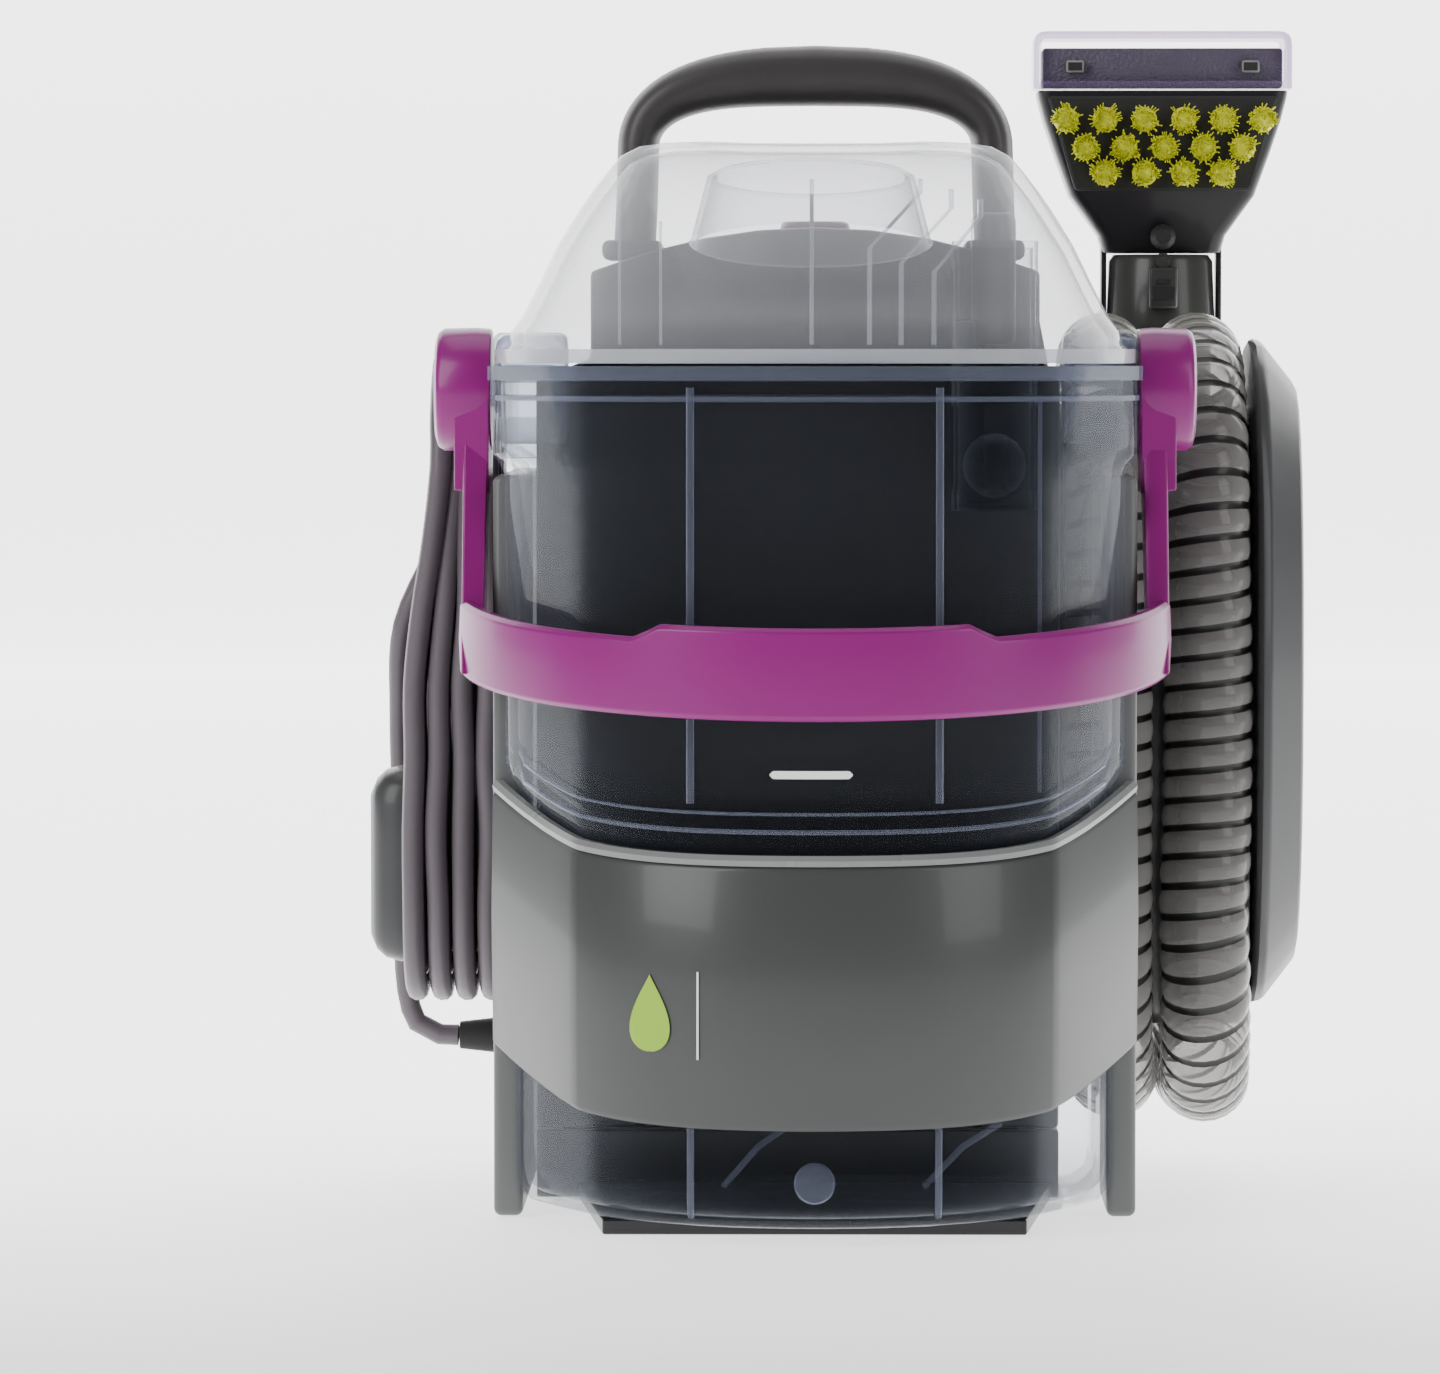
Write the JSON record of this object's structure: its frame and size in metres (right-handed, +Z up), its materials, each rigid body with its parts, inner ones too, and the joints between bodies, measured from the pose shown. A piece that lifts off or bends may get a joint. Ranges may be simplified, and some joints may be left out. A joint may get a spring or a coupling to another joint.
{
  "type": "portable carpet cleaner",
  "caption": "Portable carpet and upholstery cleaner with a clear front tank, swinging bail, coiled cord and corrugated hose with a bristle tool.",
  "frame": {"origin": "on the floor plane under the middle of the fixed body, at the underside of the base", "axes": "+Z up, front at -Y, hose side at +X"},
  "size_m": [0.2825, 0.3265, 0.35],
  "materials": {
    "housing_grey": "satin moulded grey",
    "housing_dark": "dark moulded plastic",
    "soft_grip": "soft-touch grip",
    "clear_plastic": "clear smoky polycarbonate",
    "frosted_plastic": "clear lid, slightly frosted",
    "violet_gloss": "glossy violet plastic",
    "black_rubber": "rubber",
    "bright_steel": "plated steel",
    "bristle_green": "yellow-green nylon bristle",
    "cord_grey": "grey-violet cord jacket",
    "hose_dark": "smoky corrugated hose",
    "white_plastic": "white moulded plastic"
  },
  "bodies": {
    "root": {"side_wall_left": "housing_grey", "side_wall_right": "housing_grey", "front_band": "housing_grey", "body_rear_shell": "housing_grey", "hose_wing": "housing_grey", "cord_hook_lower": "housing_grey", "base_pan": "housing_dark", "body_front_shell": "housing_dark", "fan_housing": "housing_dark", "fan_cover": "housing_dark", "suction_duct": "housing_dark", "water_pump": "housing_dark", "switch_block": "housing_dark", "tank_receiver": "housing_dark", "hose_hub": "housing_dark", "hose_port": "housing_dark", "grip_shell_left": "housing_dark", "grip_shell_right": "housing_dark", "wand_cradle": "housing_dark", "carry_handle": "soft_grip", "pump_inlet_tube": "clear_plastic", "pump_outlet_tube": "clear_plastic", "motor_mount": "black_rubber", "cord_gland": "black_rubber", "foot_front_left": "black_rubber", "foot_front_right": "black_rubber", "foot_rear_left": "black_rubber", "foot_rear_right": "black_rubber", "vacuum_motor": "bright_steel", "base_screw_1": "bright_steel", "base_screw_2": "bright_steel", "power_cord_winding": "cord_grey", "power_cord_lead": "cord_grey", "power_plug": "cord_grey", "suction_hose": "hose_dark"},
    "tank": {"dirty_tank": "clear_plastic", "bail_pin_left": "clear_plastic", "bail_pin_right": "clear_plastic"},
    "lid": {"tank_lid": "frosted_plastic", "lid_gasket": "black_rubber", "float_cage": "clear_plastic"},
    "float": {"float_ball": "white_plastic"},
    "bail_body": {"bail": "violet_gloss"},
    "clean": {"clean_tank": "clear_plastic"},
    "clean_cap": {"clean_tank_cap": "housing_dark", "cap_gasket": "black_rubber"},
    "valve": {"valve_plunger": "white_plastic", "valve_spring": "bright_steel"},
    "button": {"power_button": "violet_gloss", "button_spring": "bright_steel"},
    "upper_hook": {"cord_hook_upper": "housing_grey"},
    "trigger": {"grip_trigger": "violet_gloss", "trigger_spring": "bright_steel"},
    "tool": {"tool_body": "housing_dark", "tool_collar": "housing_grey", "tool_window": "clear_plastic", "bristle_block": "bristle_green", "spray_nozzle": "housing_dark"},
    "latch": {"tool_latch": "housing_dark"},
    "fan": {"impeller": "bright_steel"}
  },
  "joints": [
    {"name": "tank_lift", "type": "slide", "parent": "root", "child": "tank", "axis": [0, 0, 1], "range_m": [0, 0.25]},
    {"name": "lid_lift", "type": "slide", "parent": "tank", "child": "lid", "axis": [0, 0, 1], "range_m": [0, 0.1]},
    {"name": "float_rise", "type": "slide", "parent": "lid", "child": "float", "axis": [0, 0, 1], "range_m": [0, 0.045]},
    {"name": "bail_swing", "type": "hinge", "parent": "tank", "child": "bail_body", "pos_m": [0, -0.06, 0.2385], "axis": [1, 0, 0], "range_deg": [-125, 0]},
    {"name": "clean_tank_lift", "type": "slide", "parent": "root", "child": "clean", "axis": [0, 0, 1], "range_m": [0, 0.22]},
    {"name": "clean_cap_turn", "type": "hinge", "parent": "clean", "child": "clean_cap", "pos_m": [-0.008, 0.101, 0.03], "axis": [0, 0, 1], "range_deg": [0, 90]},
    {"name": "valve_press", "type": "slide", "parent": "clean_cap", "child": "valve", "axis": [0, 0, 1], "range_m": [0, 0.003], "stiffness_N_per_m": 900},
    {"name": "power_button_press", "type": "slide", "parent": "root", "child": "button", "axis": [0, 0, -1], "range_m": [0, 0.002], "stiffness_N_per_m": 900},
    {"name": "cord_hook_turn", "type": "hinge", "parent": "root", "child": "upper_hook", "pos_m": [-0.1, 0.005, 0.216], "axis": [1, 0, 0], "range_deg": [0, 180]},
    {"name": "trigger_pull", "type": "hinge", "parent": "root", "child": "trigger", "pos_m": [0.109, 0.1345, 0.2315], "axis": [1, 0, 0], "range_deg": [-4, 0], "stiffness_Nm_per_rad": 2},
    {"name": "tool_slide", "type": "slide", "parent": "root", "child": "tool", "axis": [0, 0, 1], "range_m": [0, 0.06]},
    {"name": "tool_latch_press", "type": "slide", "parent": "tool", "child": "latch", "axis": [0, 1, 0], "range_m": [0, 0.0012], "stiffness_N_per_m": 900},
    {"name": "fan_spin", "type": "hinge", "parent": "root", "child": "fan", "pos_m": [-0.005, 0.0105, 0.07], "axis": [0, 0, 1], "continuous": true}
  ]
}
